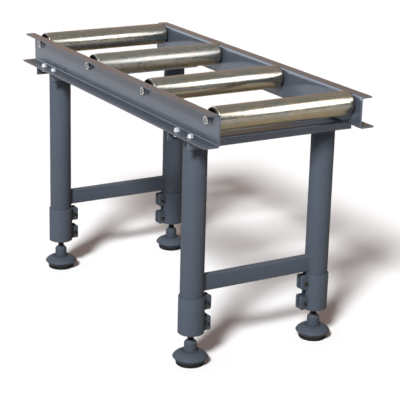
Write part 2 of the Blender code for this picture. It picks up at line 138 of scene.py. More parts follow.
# %% [markdown]
# ## Nodes, a few at a time
# Every finish is a small node tree. Helpers keep them readable: one makes a node and fills or
# links its sockets, one makes a colour ramp, and one gives noise in the piece's own coordinates, so
# that a pattern has a size in metres, stays on the piece when it moves, and never repeats.
# The rest are short names for long lines: mix, multiply, stretch and dent.

# %% Node helpers
def fill(tree, socket, value):
    """Links a socket to another one, or writes a value into it."""
    if isinstance(value, bpy.types.NodeSocket):
        tree.links.new(value, socket)
    else:
        socket.default_value = value


def add_node(tree, kind, inputs, **settings):
    node = tree.nodes.new("ShaderNode" + kind)
    for name, value in settings.items():
        setattr(node, name, value)
    for place, value in inputs.items():
        fill(tree, node.inputs[place], value)
    return node


def ramp(tree, value, *stops):
    """Colour ramp through stops of (place, grey or colour)."""
    node = add_node(tree, "ValToRGB", {"Fac": value})
    while len(node.color_ramp.elements) < len(stops):
        node.color_ramp.elements.new(0.5)
    for element, (place, colour) in zip(node.color_ramp.elements, stops):
        element.position = place
        element.color = (*colour, 1.0) if isinstance(colour, tuple) else (colour, colour, colour, 1.0)
    return node.outputs["Color"]


def own_place(tree):
    """A point's place in its piece's own coordinates."""
    return add_node(tree, "TexCoord", {}).outputs["Object"]


def speckle(tree, grain, stretch=(1.0, 1.0, 1.0), detail=2.0, rough=0.5):
    """Noise with grains this many metres across, drawn out along an axis by a stretch above 1."""
    size = tuple(1.0 / (grain * long) for long in stretch)
    place = add_node(tree, "Mapping", {"Vector": own_place(tree), "Scale": size}).outputs["Vector"]
    inputs = {"Vector": place, "Scale": 1.0, "Detail": detail, "Roughness": rough}
    return add_node(tree, "TexNoise", inputs).outputs["Fac"]


print("node helpers ready")

# %% Mixing helpers
def blend(tree, share, first, second, way="MIX"):
    node = add_node(tree, "Mix", {0: share}, data_type="RGBA", blend_type=way)
    fill(tree, node.inputs[6], first)
    fill(tree, node.inputs[7], second)
    return node.outputs[2]


def reckon(tree, way, *values):
    """A sum, product or the like of numbers."""
    return add_node(tree, "Math", dict(enumerate(values)), operation=way).outputs[0]


def times(tree, first, second):
    return reckon(tree, "MULTIPLY", first, second)


def likeness(tree, first, second):
    """How much two directions agree: 1 for the same, 0 for square to each other."""
    return add_node(tree, "VectorMath", {0: first, 1: second}, operation="DOT_PRODUCT").outputs["Value"]


def parts(tree, vector):
    """X, Y and Z of a vector, by name."""
    return add_node(tree, "SeparateXYZ", {"Vector": vector}).outputs


def between(tree, value, low, high, start=0.0, end=1.0):
    """Stretches a value's range from low to high to the range from start to end."""
    inputs = {"Value": value, "From Min": low, "From Max": high, "To Min": start, "To Max": end}
    return add_node(tree, "MapRange", inputs).outputs["Result"]


def dents(tree, height, depth, before=None):
    """Bump of a depth in metres, on top of an earlier one."""
    inputs = {"Height": height, "Distance": depth, "Strength": 1.0}
    if before is not None:
        inputs["Normal"] = before
    return add_node(tree, "Bump", inputs).outputs["Normal"]


def new_finish(name, same_all_over):
    """A finish, its nodes, and its surface with the values that are the same all over."""
    made = bpy.data.materials.new(name)
    made.use_nodes = True
    surface = made.node_tree.nodes["Principled BSDF"]
    for socket, value in same_all_over.items():
        surface.inputs[socket].default_value = value
    return made, made.node_tree, surface


def vary(tree, surface, colour, roughness, normal):
    """Gives a surface what changes from place to place."""
    fill(tree, surface.inputs["Base Color"], colour)
    fill(tree, surface.inputs["Roughness"], roughness)
    fill(tree, surface.inputs["Normal"], normal)


print("mixing helpers ready")

# %% [markdown]
# ## The white paper
# The paper is lit like everything else and keeps the shadows. It is a trace warmer than white, so they
# turn brownish while the lit paper stays white. Light Path changes it twice: what it throws back onto
# dull paint is dimmer, or every underside would be bleached, and close to the stand mirrors see it
# tan, darker further under it: a painted shade, as the undersides of the rollers show it.

# %% Floor
def make_paper():
    finish, tree, surface = new_finish("white_paper", {"Roughness": 1.0, "Specular IOR Level": 0.0})
    fibres = speckle(tree, 0.004, detail=3)
    paper = ramp(tree, fibres, (0.3, (0.935, 0.925, 0.918)), (0.7, (0.950, 0.940, 0.932)))
    ray = add_node(tree, "LightPath", {}).outputs
    spot = parts(tree, own_place(tree))
    # Painted shade: near the stand, mirrors see the paper tan, and darker brown further under it.
    nearby = times(tree, between(tree, spot["X"], -0.5, -0.1), between(tree, spot["Y"], -1.5, -1.1))
    under = between(tree, spot["Y"], -0.75, -0.15)
    mirrored_painted_shade = blend(tree, under, (0.80, 0.70, 0.50, 1.0), (0.34, 0.28, 0.18, 1.0))
    paper = blend(tree, times(tree, ray["Is Glossy Ray"], nearby), paper, mirrored_painted_shade)
    paper = blend(tree, ray["Is Diffuse Ray"], paper, (0.40, 0.35, 0.32, 1.0))
    fill(tree, surface.inputs["Base Color"], paper)
    return finish


def mesh_of(bm, name="shape"):
    mesh = bpy.data.meshes.new(name)
    bm.to_mesh(mesh)
    bm.free()
    return mesh


floor_half = 30.0
grid = bmesh.new()
bmesh.ops.create_grid(grid, x_segments=8, y_segments=8, size=floor_half)
floor_mesh = mesh_of(grid, "paper_floor")
floor_mesh.materials.append(make_paper())
floor = put("paper_floor", floor_mesh)
print("floor", round(floor.dimensions.x), "m wide")

# %% [markdown]
# ## What the metal sees
# Shiny metal shows its surroundings, so the studio needs some: a brown wall low down, which tints the
# tops of the rails and is dark on the camera's side, and a pale ceiling with one bright patch behind.
# Dull paint gets simpler light: dim and warm all round, blue-white from low on the left and pale from
# low behind, for the sides that the sun doesn't reach. Light Path lets one world do both.

# %% World
def make_studio():
    studio = bpy.data.worlds.new("studio")
    studio.use_nodes = True
    tree = studio.node_tree
    tree.nodes.clear()
    way = add_node(tree, "TexCoord", {}).outputs["Generated"]
    side = parts(tree, way)
    wall = ramp(
        tree, side["X"],
        (0.40, (0.52, 0.35, 0.24)), (0.49, (0.50, 0.345, 0.26)), (0.60, (0.38, 0.25, 0.17)),
    )
    wall = blend(tree, between(tree, side["Y"], 0.1, -0.2), wall, (0.12, 0.12, 0.115, 1.0))
    wall = blend(tree, between(tree, side["Z"], 0.38, 0.62), wall, (0.53, 0.50, 0.45, 1.0))
    patch = between(tree, likeness(tree, way, (-0.32, 0.82, 0.48)), 0.90, 0.95)
    shown = blend(tree, patch, wall, (2.4, 2.45, 2.5, 1.0))

    left = times(tree, between(tree, side["X"], -0.25, -0.85), between(tree, side["Z"], 0.55, 0.15))
    filling = ramp(tree, left, (0.0, (0.13, 0.075, 0.055)), (1.0, (1.22, 1.28, 1.50)))
    behind = between(tree, likeness(tree, way, (0.75, 0.66, 0.0)), 0.2, 0.7)
    behind = times(tree, behind, between(tree, side["Z"], 0.45, 0.10))
    filling = blend(tree, behind, filling, (1.32, 1.22, 1.14, 1.0))

    ray = add_node(tree, "LightPath", {}).outputs
    seen = blend(tree, ray["Is Diffuse Ray"], shown, filling)
    light = add_node(tree, "Background", {"Color": seen, "Strength": 1.0})
    add_node(tree, "OutputWorld", {"Surface": light.outputs[0]})
    return studio


scene.world = make_studio()
scene.view_settings.view_transform = "Standard"
print("world", scene.world.name)

# %% [markdown]
# ## Wear and painted shade on paint and metal
# Paint isn't one flat colour. It is rubbed along edges, and dust lies on faces that look up, with a
# painted warm reflection there too. Shade is painted in where a fold closes in. Masks for these could be
# painted by hand, but nodes find them: a Bevel node sees an edge coming, Ambient Occlusion sees a fold,
# and the normal says what looks up. On the rails, measured here for it, painted shade also darkens
# the cut edges and the lower flange.

# %% Wear and painted shade helpers
sheet = 0.004
web_inner, bottom_tip = extent("right_rail", "X")
web_outer = web_inner + sheet
top_tip = web_outer + 0.0264
rail_halfway = 0.60


def facing(tree):
    return add_node(tree, "NewGeometry", {}).outputs["Normal"]


def upward(tree):
    """1 on a face that looks up, 0 on a wall."""
    return parts(tree, facing(tree))["Z"]


def edge_share(tree, width):
    """Share that is 1 along an edge and 0 on open faces."""
    softened = add_node(tree, "Bevel", {"Radius": width}, samples=4).outputs["Normal"]
    return between(tree, likeness(tree, softened, facing(tree)), 0.995, 0.90)


def dust_and_warm_reflection(tree):
    """Share of dust and of a painted warm reflection: only on faces that look up, in soft patches."""
    patches = between(tree, speckle(tree, 0.03, detail=4, rough=0.6), 0.3, 0.75)
    return times(tree, between(tree, upward(tree), 0.75, 0.98), patches)


def fold_shade(tree, reach):
    """Share of painted shade: only where a fold closes in on a face."""
    shut_in = add_node(tree, "AmbientOcclusion", {"Distance": reach}, samples=8, only_local=True)
    return between(tree, shut_in.outputs["AO"], 0.95, 0.60)


def rail_shade(tree):
    """Share of painted shade on a rail's cut edges and on its lower flange."""
    spot = parts(tree, own_place(tree))
    tip = between(tree, spot["Z"], rail_halfway, rail_halfway + 0.01, bottom_tip, top_tip)
    past_tip = reckon(tree, "SUBTRACT", reckon(tree, "ABSOLUTE", spot["X"]), tip)
    # Painted shade: the cut edges and the top of the lower flange are darkened.
    cut_edge = between(tree, past_tip, -0.0006, -0.0002, 0.0, 0.85)
    low_down = between(tree, spot["Z"], rail_halfway, rail_halfway - 0.01, 0.0, 0.45)
    shelf = times(tree, between(tree, upward(tree), 0.75, 0.98), low_down)
    return reckon(tree, "MAXIMUM", cut_edge, shelf)


print("a rail's flanges end at", round(top_tip, 4), "and", bottom_tip)

# %% [markdown]
# ## Blue-grey paint
# The stand is sprayed blue-grey. The coat is a little thicker here and there, has fine flecks and the
# dimples of sprayed paint, and is duller along edges and in folds. Four separate trees would repeat
# each other, so one function makes glossy rails and crossmembers and satin legs and feet. Its pale
# factor paints light and shade into one paint: the crossmembers paler for the shade under the rails,
# the feet darker for the light on their tops, and the rails a little darker than the legs.

# %% Paint
dust_and_reflection_tan = (0.24, 0.20, 0.175, 1.0)
rubbed_grey = (0.14, 0.15, 0.17, 1.0)
shade_black = (0.020, 0.024, 0.030, 1.0)


def make_paint(name, pale, shine, dullest, glossiest, is_rail=False):
    fixed = {"Specular Tint": (0.74, 0.83, 1.0, 1.0), "Specular IOR Level": shine}
    finish, tree, surface = new_finish(name, fixed)
    thin = tuple(pale * share for share in (0.062, 0.0745, 0.095))
    thick = tuple(pale * share for share in (0.069, 0.0815, 0.103))
    coat = ramp(tree, speckle(tree, 0.12, detail=3), (0.30, thin), (0.70, thick))
    flecks = ramp(tree, speckle(tree, 0.0012, detail=1), (0.35, 0.80), (0.65, 1.15))
    colour = blend(tree, 0.30, coat, flecks, "MULTIPLY")
    # Dust and a painted warm reflection: faces that look up are tinted tan.
    colour = blend(tree, times(tree, dust_and_warm_reflection(tree), 0.08), colour, dust_and_reflection_tan)
    edges = edge_share(tree, 0.0013)
    worn = times(tree, edges, between(tree, speckle(tree, 0.006, detail=3), 0.35, 0.7, 0.0, 0.15))
    colour = blend(tree, worn, colour, rubbed_grey)
    # Painted shade: folds are darkened towards black, more where faces look up, and a rail's cut edges and
    # lower flange too.
    folds = fold_shade(tree, 0.06)
    looks_up = upward(tree)
    painted_shade = times(tree, folds, between(tree, looks_up, 0.2, 0.9, 0.35, 0.90))
    colour = blend(tree, painted_shade, colour, shade_black)
    if is_rail:
        colour = blend(tree, rail_shade(tree), colour, shade_black)

    dulled = between(tree, speckle(tree, 0.06, detail=2), 0.3, 0.7, glossiest, dullest)
    dulled = reckon(tree, "MULTIPLY_ADD", edges, 0.45, dulled)
    dusty = between(tree, looks_up, 0.2, 0.9, 0.0, 0.55)
    dulled = reckon(tree, "MULTIPLY_ADD", folds, dusty, dulled)
    waves = dents(tree, speckle(tree, 0.014, detail=1), 0.00002)
    dimples = dents(tree, speckle(tree, 0.0022, detail=1), 0.00001, waves)
    vary(tree, surface, colour, dulled, dimples)
    return finish


# Painted light and shade: crossmembers paler for the shade under the rails, feet and rails darker for their
# light.
rail_paint = make_paint("glossy_blue_grey", 0.96, 1.0, 0.17, 0.12, is_rail=True)
lightened_channel_paint = make_paint("glossy_blue_grey_lightened", 1.60, 0.5, 0.19, 0.14)
leg_paint = make_paint("satin_blue_grey", 1.04, 0.12, 0.58, 0.48)
darkened_foot_paint = make_paint("satin_blue_grey_darkened", 0.86, 0.12, 0.62, 0.52)
for coat in (rail_paint, lightened_channel_paint, leg_paint, darkened_foot_paint):
    print("finish", coat.name, len(coat.node_tree.nodes), "nodes")

# %% [markdown]
# ## Yellow zinc on the rollers
# The roller tubes are zinc plated and passivated yellow, under a clear film. Such a plating is uneven:
# olive, tan and reddish patches run along the tube, with drawing lines and small, duller clouds. So
# colour, roughness and bump share their noises, which are drawn out along the tube. The rolled lips
# are rubbed and painted bright, a painted highlight at each end. No two tubes look alike, so each
# gets its own tone.

# %% Roller zinc
grey_zinc = (0.232, 0.234, 0.228, 1.0)
scuffed_zinc = (0.52, 0.50, 0.46, 1.0)
worn_and_highlit_lip = (0.80, 0.79, 0.75, 1.0)


def make_roller_zinc(name, tan, dull):
    fixed = {"Metallic": 0.88, "Coat Weight": 1.0, "Coat Roughness": 0.30}
    finish, tree, surface = new_finish(name, fixed)
    streaks = speckle(tree, 0.010, (9.0, 1.0, 1.0), detail=4, rough=0.6)
    patches = speckle(tree, 0.030, (2.2, 1.0, 1.0), detail=4, rough=0.6)
    tint = ramp(
        tree, patches,
        (0.28, (0.212, 0.213, 0.192)), (0.45, (0.230, 0.220, 0.192)),
        (0.58, (0.268, 0.230, 0.170)), (0.75, (0.250, 0.243, 0.226)),
    )
    tint = blend(tree, tan, grey_zinc, tint)
    lines = ramp(tree, streaks, (0.30, 0.74), (0.70, 1.18))
    colour = blend(tree, 0.6, tint, lines, "MULTIPLY")
    mottle = speckle(tree, 0.009, (2.0, 1.0, 1.0), detail=5, rough=0.7)
    clouds = ramp(
        tree, mottle,
        (0.36, (0.70, 0.86, 0.76)), (0.50, (1.0, 1.0, 1.0)), (0.64, (1.30, 1.10, 1.02)),
    )
    colour = blend(tree, 0.8, colour, clouds, "MULTIPLY")
    scuffs = between(tree, speckle(tree, 0.004, (5.0, 1.0, 1.0), detail=3), 0.62, 0.80)
    colour = blend(tree, times(tree, scuffs, 0.5), colour, scuffed_zinc)
    # Painted highlight: the rolled lips are turned pale, partly as wear.
    lips = edge_share(tree, 0.0022)
    colour = blend(tree, lips, colour, worn_and_highlit_lip)
    polish = between(tree, mottle, 0.35, 0.65, 0.12 + dull, 0.27 + dull)
    polish = reckon(tree, "MULTIPLY_ADD", lips, 0.30, polish)
    hollows = dents(tree, speckle(tree, 0.016, (2.0, 1.0, 1.0), detail=2), 0.00022)
    grain = dents(tree, speckle(tree, 0.0030, (2.5, 1.0, 1.0), detail=3, rough=0.6), 0.00006, hollows)
    vary(tree, surface, colour, polish, dents(tree, streaks, 0.00003, grain))
    return finish


tube_tones = {1: (1.0, 0.0), 2: (0.7, 0.0), 3: (0.1, 0.13), 4: (0.6, 0.02)}
roller_zinc = {}
for number, (tan, dull) in tube_tones.items():
    roller_zinc[number] = make_roller_zinc(f"roller_zinc_{number}", tan, dull)
    print("finish", roller_zinc[number].name, "tan", tan, "and duller by", dull)

# %% [markdown]
# ## Bright zinc and drawn steel
# Bolts, nuts and washers are plated bright, with small dull spots, and painted shade in grooves and folds.
# The rail bolts are whiter and the axle bolts mirror more, so one function makes two zincs. The inner
# legs are drawn tube, with fine lines along it and a film of oil in darker patches. A metal's colour
# is what it mirrors, so these need little tint of their own.

# %% Bolt zinc and drawn steel
def make_bolt_zinc(name, metal, pale, shade_strength):
    finish, tree, surface = new_finish(name, {"Metallic": metal})
    spots = speckle(tree, 0.0015, detail=4, rough=0.65)
    tones = ((0.54, 0.55, 0.58), (0.72, 0.73, 0.75), (0.66, 0.68, 0.72))
    tones = [tuple(pale * share for share in tone) for tone in tones]
    colour = ramp(tree, spots, *zip((0.30, 0.55, 0.75), tones))
    # Painted shade: where a fold closes in, as in a head's groove, the colour goes dark.
    painted_shade = times(tree, fold_shade(tree, 0.004), shade_strength)
    colour = blend(tree, painted_shade, colour, (0.045, 0.04, 0.038, 1.0))
    dulled = between(tree, spots, 0.3, 0.7, 0.34, 0.20)
    vary(tree, surface, colour, dulled, dents(tree, speckle(tree, 0.0008, detail=2), 0.00002))
    return finish


def make_drawn_steel():
    finish, tree, surface = new_finish("drawn_steel", {"Metallic": 1.0})
    lines = speckle(tree, 0.0012, (1.0, 1.0, 90.0), detail=3)
    oil = speckle(tree, 0.035, (1.0, 1.0, 2.0), detail=4, rough=0.6)
    bare = ramp(tree, lines, (0.30, (0.40, 0.405, 0.41)), (0.70, (0.52, 0.525, 0.53)))
    film = between(tree, oil, 0.45, 0.72, 0.0, 0.55)
    colour = blend(tree, film, bare, (0.25, 0.235, 0.21, 1.0))
    dulled = between(tree, oil, 0.35, 0.7, 0.38, 0.24)
    vary(tree, surface, colour, dulled, dents(tree, lines, 0.00002))
    return finish


bolt_zinc = make_bolt_zinc("bolt_zinc", 1.0, 1.0, 1.0)
white_zinc = make_bolt_zinc("white_zinc", 0.55, 1.25, 0.15)
drawn_steel = make_drawn_steel()
print("finishes", bolt_zinc.name, white_zinc.name, drawn_steel.name)

# %% [markdown]
# ## The blacks
# Spindles and clamp bolts are black oxide steel: dark, slightly oily, and grey where a thread rubs.
# On the clamp bolts nearly every edge is pale: bared by a spanner, and painted brighter as glints.
# The roller caps are pressed and painted black, and the pads are rubber, the dullest of all, with
# grain and pale floor dust.
# These finishes differ in gloss and wear more than in colour.

# %% Black finishes
def make_black_oxide(name, least, most, bare):
    finish, tree, surface = new_finish(name, {"Metallic": 0.7})
    cloud = speckle(tree, 0.005, detail=4, rough=0.6)
    colour = ramp(tree, cloud, (0.3, (0.020, 0.021, 0.023)), (0.7, (0.036, 0.036, 0.037)))
    patches = between(tree, speckle(tree, 0.002), 0.4, 0.7, least, most)
    pale_edges = times(tree, edge_share(tree, 0.0007), patches)
    colour = blend(tree, pale_edges, colour, (bare, bare, bare * 0.95, 1.0))
    dulled = between(tree, cloud, 0.3, 0.7, 0.32, 0.50)
    vary(tree, surface, colour, dulled, dents(tree, speckle(tree, 0.0009, detail=2), 0.00002))
    return finish


def make_cap_black():
    finish, tree, surface = new_finish("cap_black", {})
    cloud = speckle(tree, 0.004, detail=4, rough=0.6)
    colour = ramp(tree, cloud, (0.3, (0.014, 0.012, 0.011)), (0.7, (0.030, 0.026, 0.023)))
    pale_edges = times(tree, edge_share(tree, 0.0008), 0.25)
    colour = blend(tree, pale_edges, colour, (0.12, 0.115, 0.11, 1.0))
    dulled = between(tree, cloud, 0.3, 0.7, 0.38, 0.55)
    vary(tree, surface, colour, dulled, dents(tree, speckle(tree, 0.0011, detail=1), 0.00003))
    return finish


def make_pad_rubber():
    finish, tree, surface = new_finish("pad_rubber", {"Specular IOR Level": 0.15})
    cloud = speckle(tree, 0.006, detail=5, rough=0.65)
    colour = ramp(tree, cloud, (0.35, (0.008, 0.007, 0.0068)), (0.75, (0.016, 0.0145, 0.0135)))
    dust = times(tree, between(tree, speckle(tree, 0.003, detail=4), 0.5, 0.8), 0.10)
    colour = blend(tree, dust, colour, (0.11, 0.10, 0.09, 1.0))
    dulled = between(tree, cloud, 0.3, 0.7, 0.68, 0.85)
    vary(tree, surface, colour, dulled, dents(tree, speckle(tree, 0.0007, detail=2), 0.00006))
    return finish


black_oxide = make_black_oxide("black_oxide", 0.1, 0.55, 0.22)
# The clamp bolts' pale edges are wear and painted glints.
worn_and_glinting_oxide = make_black_oxide("black_oxide_worn_and_glinting", 0.6, 1.0, 0.62)
cap_black = make_cap_black()
pad_rubber = make_pad_rubber()
print("finishes", black_oxide.name, worn_and_glinting_oxide.name, cap_black.name, pad_rubber.name)

# %% [markdown]
# ## Four ways to make a shape
# Nearly everything here is made the way a workshop makes it: sheet is an outline pushed along its
# length, turned and drawn pieces are an outline spun round an axis, and both are then drilled and
# slit. So four helpers are enough: round an outline, push it, spin it, cut it.
# A primitive cylinder would have neither wall, nor lip, nor rounded edge.

# %% Outlines and pushed shapes
def rounded(corners, steps=6):
    """Closed outline through corners (u, v, radius), each turned by an arc."""
    points = []
    for index, (u, v, radius) in enumerate(corners):
        here = Vector((u, v))
        if not radius:
            points.append(here)
            continue
        back = (Vector(corners[index - 1][:2]) - here).normalized()
        ahead = (Vector(corners[(index + 1) % len(corners)][:2]) - here).normalized()
        half = back.angle(ahead) / 2
        centre = here + (back + ahead).normalized() * radius / math.sin(half)
        start = here + back * radius / math.tan(half) - centre
        end = here + ahead * radius / math.tan(half) - centre
        points += [centre + start.slerp(end, step / steps) * radius for step in range(steps + 1)]
    return points


def closed_mesh(bm):
    """Mesh of a closed shape with its faces outwards."""
    bmesh.ops.recalc_face_normals(bm, faces=bm.faces)
    return mesh_of(bm)


def skin(bm, rings):
    """Faces from each ring of points to the next, three-sided where a ring is one point."""
    for low, high in zip(rings, rings[1:]):
        for n in range(len(low)):
            m = (n + 1) % len(low)
            corners = list(dict.fromkeys((low[n], low[m], high[m], high[n])))
            if len(corners) > 2:
                bm.faces.new(corners)


def pushed(outline, axis, start, end):
    """An outline in the other two axes, pushed along an axis."""
    place = "XYZ".index(axis)
    bm = bmesh.new()
    rings = []
    for level in (start, end):
        spots = [(*point[:place], level, *point[place:]) for point in outline]
        rings.append([bm.verts.new(spot) for spot in spots])
        bm.faces.new(rings[-1])
    skin(bm, rings)
    return closed_mesh(bm)


square = pushed([(0, 0), (1, 0), (1, 1), (0, 1)], "Z", 0, 1)
print("a pushed square has", len(square.polygons), "faces")

# %% Spun shapes
on_axis = 1e-7


def turns(sides):
    return [2 * math.pi * n / sides for n in range(sides)]


def circle(radius, height, sides):
    return [(radius * math.cos(t), radius * math.sin(t), height) for t in turns(sides)]


def spun(outline, sides=96):
    """An outline (radius, height) spun round Z. It is a loop, or starts and ends on the axis."""
    bm = bmesh.new()
    rings = []
    for radius, height in outline:
        if radius < on_axis:
            rings.append([bm.verts.new((0, 0, height))] * sides)
        else:
            rings.append([bm.verts.new(point) for point in circle(radius, height, sides)])
    if outline[0][0] > on_axis:
        rings.append(rings[0])
    skin(bm, rings)
    return closed_mesh(bm)


def moved(mesh, x=0.0, y=0.0, z=0.0, half_turn=False):
    """Copy of a mesh at a place, turned half round Z first if asked."""
    copy = mesh.copy()
    if half_turn:
        copy.transform(Matrix.Rotation(math.pi, 4, "Z"))
    copy.transform(Matrix.Translation((x, y, z)))
    return copy


def turned(mesh, angle, axis="Z"):
    """Copy of a mesh, turned round an axis."""
    copy = mesh.copy()
    copy.transform(Matrix.Rotation(angle, 4, axis))
    return copy


def laid(mesh, axis):
    """Copy of a shape that stands along Z, laid along another axis."""
    return turned(mesh, math.pi / 2, "Y") if axis == "X" else turned(mesh, -math.pi / 2, "X")


def together(*meshes):
    bm = bmesh.new()
    for mesh in meshes:
        bm.from_mesh(mesh)
    return mesh_of(bm)


print("a spun ring has", len(spun([(1, 0), (2, 0), (2, 1), (1, 1)]).polygons), "faces")

# %% Cut shapes
def combined(way, base, *tools):
    """Mesh of a base after each tool is joined to it, cut from it, or shared with it."""
    body = put("base", base)
    helpers = [put("tool", tool) for tool in tools]
    for helper in helpers:
        modifier = body.modifiers.new("combine", "BOOLEAN")
        modifier.operation = way
        modifier.object = helper
    depsgraph = bpy.context.evaluated_depsgraph_get()
    mesh = bpy.data.meshes.new_from_object(body.evaluated_get(depsgraph))
    for used in (body, *helpers):
        bpy.data.objects.remove(used)
    return mesh


def rod(radius, start, end, sides=48):
    return spun([(0, start), (radius, start), (radius, end), (0, end)], sides)


hole = combined("DIFFERENCE", rod(2, 0, 1, 8), rod(1, -1, 2, 8))
print("a drilled block has", len(hole.polygons), "faces")

# %% [markdown]
# ## Putting a piece on the stand
# Each piece takes its finish, rides on a CAD body to move with it, and stands for its CAD node,
# which is then hidden. Real metal has no knife edges. Where an outline doesn't already carry its
# rounding, a Bevel modifier breaks them by a fraction of a millimetre, and they catch the light.

# %% Pieces
sharp_angle = math.radians(40)


def add_piece(name, mesh, finish, body, stands_for=None, broken_edge=0.0):
    mesh.name = name
    mesh.materials.clear()
    mesh.materials.append(finish)
    mesh.shade_smooth()
    piece = put(name, mesh)
    if broken_edge:
        edges = piece.modifiers.new("broken_edges", "BEVEL")
        edges.width = broken_edge
        edges.segments = 2
        edges.limit_method = "ANGLE"
        edges.angle_limit = sharp_angle
        edges.harden_normals = True
    else:
        mesh.set_sharp_from_angle(angle=sharp_angle)
    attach(piece, body)
    if stands_for:
        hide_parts(stands_for)
    return piece


# %% [markdown]
# ## Side rails
# A rail is 4 mm sheet folded to a C that opens outwards, with a wider lower flange to stand on the
# crossmembers. The folds are arcs of eight steps, because a wide soft highlight runs along them.
# A flat sheet with Solidify could do, but an outline keeps both bend radii exact.
# The holes for axle bolts and rail bolts are then drilled in one cut.

# %% Rails
rail_start, rail_end = extent("right_rail", "Y")
rail_bottom, rail_top = extent("right_rail", "Z")
inside_bend = 0.003
roller_places = [middle(f"roller_{number}_tube", "Y") for number in (1, 2, 3, 4)]
roller_height = middle("roller_1_tube", "Z")
leg_x = middle("front_right_leg_tube", "X")
leg_y = middle("rear_right_leg_tube", "Y")
bolt_x, bolt_step, bolt_shift = 0.2150, 0.0305, -0.0070
bolt_steps = (-bolt_step, bolt_step)
axle_hole_radius, bolt_hole_radius = 0.0055, 0.0045


def rail_shape(side):
    cut_edge = 0.0003
    section = rounded([
        (web_inner, rail_bottom, inside_bend + sheet), (bottom_tip, rail_bottom, cut_edge),
        (bottom_tip, rail_bottom + sheet, cut_edge), (web_outer, rail_bottom + sheet, inside_bend),
        (web_outer, rail_top - sheet, inside_bend), (top_tip, rail_top - sheet, cut_edge),
        (top_tip, rail_top, cut_edge), (web_inner, rail_top, inside_bend + sheet),
    ], 8)
    rail = pushed([(side * u, v) for u, v in section], "Y", rail_start, rail_end)
    axle_hole = laid(rod(axle_hole_radius, 0.18, 0.21), "X")
    bolt_hole = rod(bolt_hole_radius, rail_bottom - sheet, rail_bottom + 2 * sheet)
    holes = [moved(axle_hole, y=y, z=roller_height, half_turn=side < 0) for y in roller_places]
    for end in (-leg_y, leg_y):
        holes += [moved(bolt_hole, side * bolt_x, end + bolt_shift + step) for step in bolt_steps]
    return combined("DIFFERENCE", rail, together(*holes))


for name, side in (("left_rail", -1), ("right_rail", 1)):
    rail = add_piece(name + "_sheet", rail_shape(side), rail_paint, "frame", name, 0.0002)
    print(rail.name, len(rail.data.polygons), "faces")

# %% [markdown]
# ## Roller tubes and caps
# A roller is a zinc plated tube with a rolled lip at each end. A black bearing cap is pressed in: a hub
# round the axle, a bearing shield, a dished ring, and a thin lip of its own just past the tube. A
# cylinder with inset ends could be the tube but not the cap, so all are spun from outlines. With
# 96 sides the softbox's white band stays straight.

# %% Rollers
roller_radius, roller_wall = half_size("roller_1_tube", "Z"), 0.002
roller_half = extent("roller_1_tube", "X")[1] + 0.003
lip_depth, lip_radius = 0.003, roller_radius - roller_wall - 0.0007
tube_shape = laid(spun(rounded([
    (roller_radius - roller_wall, lip_depth - roller_half, 0), (lip_radius, -roller_half, 0.0004),
    (roller_radius, -roller_half, 0.0021), (roller_radius, roller_half, 0.0021),
    (lip_radius, roller_half, 0.0004), (roller_radius - roller_wall, roller_half - lip_depth, 0),
], 5)), "X")

cap_face = extent("roller_1_right_cap", "X")[1]
hub_bore, hub_radius, cap_radius, cap_depth = 0.0065, 0.0110, 0.0267, 0.0160
cap_body = laid(spun([(r, cap_face + h) for r, h in rounded([
    (hub_bore, 0.0, 0.0004), (hub_radius, 0.0, 0.0006),
    (hub_radius, -0.0040, 0.0005), (0.0140, -0.0046, 0.0004),
    (0.0148, -0.0080, 0.0004), (0.0200, -0.0080, 0.0010),
    (0.0238, -0.0050, 0.0010), (cap_radius, -0.0050, 0.0004),
    (cap_radius, -cap_depth, 0.0005), (hub_bore, -cap_depth, 0.0004),
], 4)]), "X")
cap_lip_root, cap_lip_start, cap_lip_end = 0.1745, roller_half + 0.0002, roller_half + 0.0032
lip_bore, neck_radius, rim_radius = 0.0240, 0.0262, 0.0274
cap_lip = laid(spun(rounded([
    (lip_bore, cap_lip_root, 0), (neck_radius, cap_lip_root, 0),
    (neck_radius, cap_lip_start, 0), (rim_radius, cap_lip_start, 0.0003),
    (rim_radius, cap_lip_end, 0.0008), (lip_bore, cap_lip_end, 0.0008),
], 3)), "X")
right_cap = together(cap_body, cap_lip)
left_cap = turned(right_cap, math.pi)

for number, y in enumerate(roller_places, start=1):
    body = f"roller_{number}"
    tube = moved(tube_shape, y=y, z=roller_height)
    add_piece(body + "_shell", tube, roller_zinc[number], body, body + "_tube")
    for side, cap in (("left", left_cap), ("right", right_cap)):
        placed = moved(cap, y=y, z=roller_height)
        add_piece(f"{body}_{side}_end", placed, cap_black, body, f"{body}_{side}_cap")
print("4 rollers,", len(tube_shape.polygons), "faces a tube and", len(right_cap.polygons), "a cap")

# %% [markdown]
# ## Hexagons
# Bolt heads and nuts are hexagons whose corners a lathe has taken off, which leaves a small arc over
# each flat, where a cone crosses six planes. Nothing draws it more simply than the same cut:
# a hexagonal prism, shared with a turned blank.

# %% Hex heads and washers
def hexagon(across, start, end, both_ends=False):
    """Hexagon along Z, turned down at its end, or at both ends."""
    corner = across / math.sqrt(3)
    flat = across / 2 * 0.96
    drop = (corner - flat) * math.tan(math.radians(30))
    angles = [math.pi / 6 + n * math.pi / 3 for n in range(6)]
    prism = pushed([(corner * math.cos(t), corner * math.sin(t)) for t in angles], "Z", start, end)
    past = corner * 1.001
    blank = [(0, start)]
    blank += [(flat, start), (past, start + drop)] if both_ends else [(past, start)]
    blank += [(past, end - drop), (flat, end), (0, end)]
    return combined("INTERSECT", prism, spun(blank, 48))


def washer(bore, radius, start, end):
    edge = 0.0003
    outline = [(bore, start, 0), (radius, start, edge), (radius, end, edge), (bore, end, edge)]
    return spun(rounded(outline, 3), 64)


axle_bolt_across, axle_bolt_height = 0.0178, 0.0066
print("an axle bolt's head has", len(hexagon(axle_bolt_across, 0, axle_bolt_height).polygons), "faces")

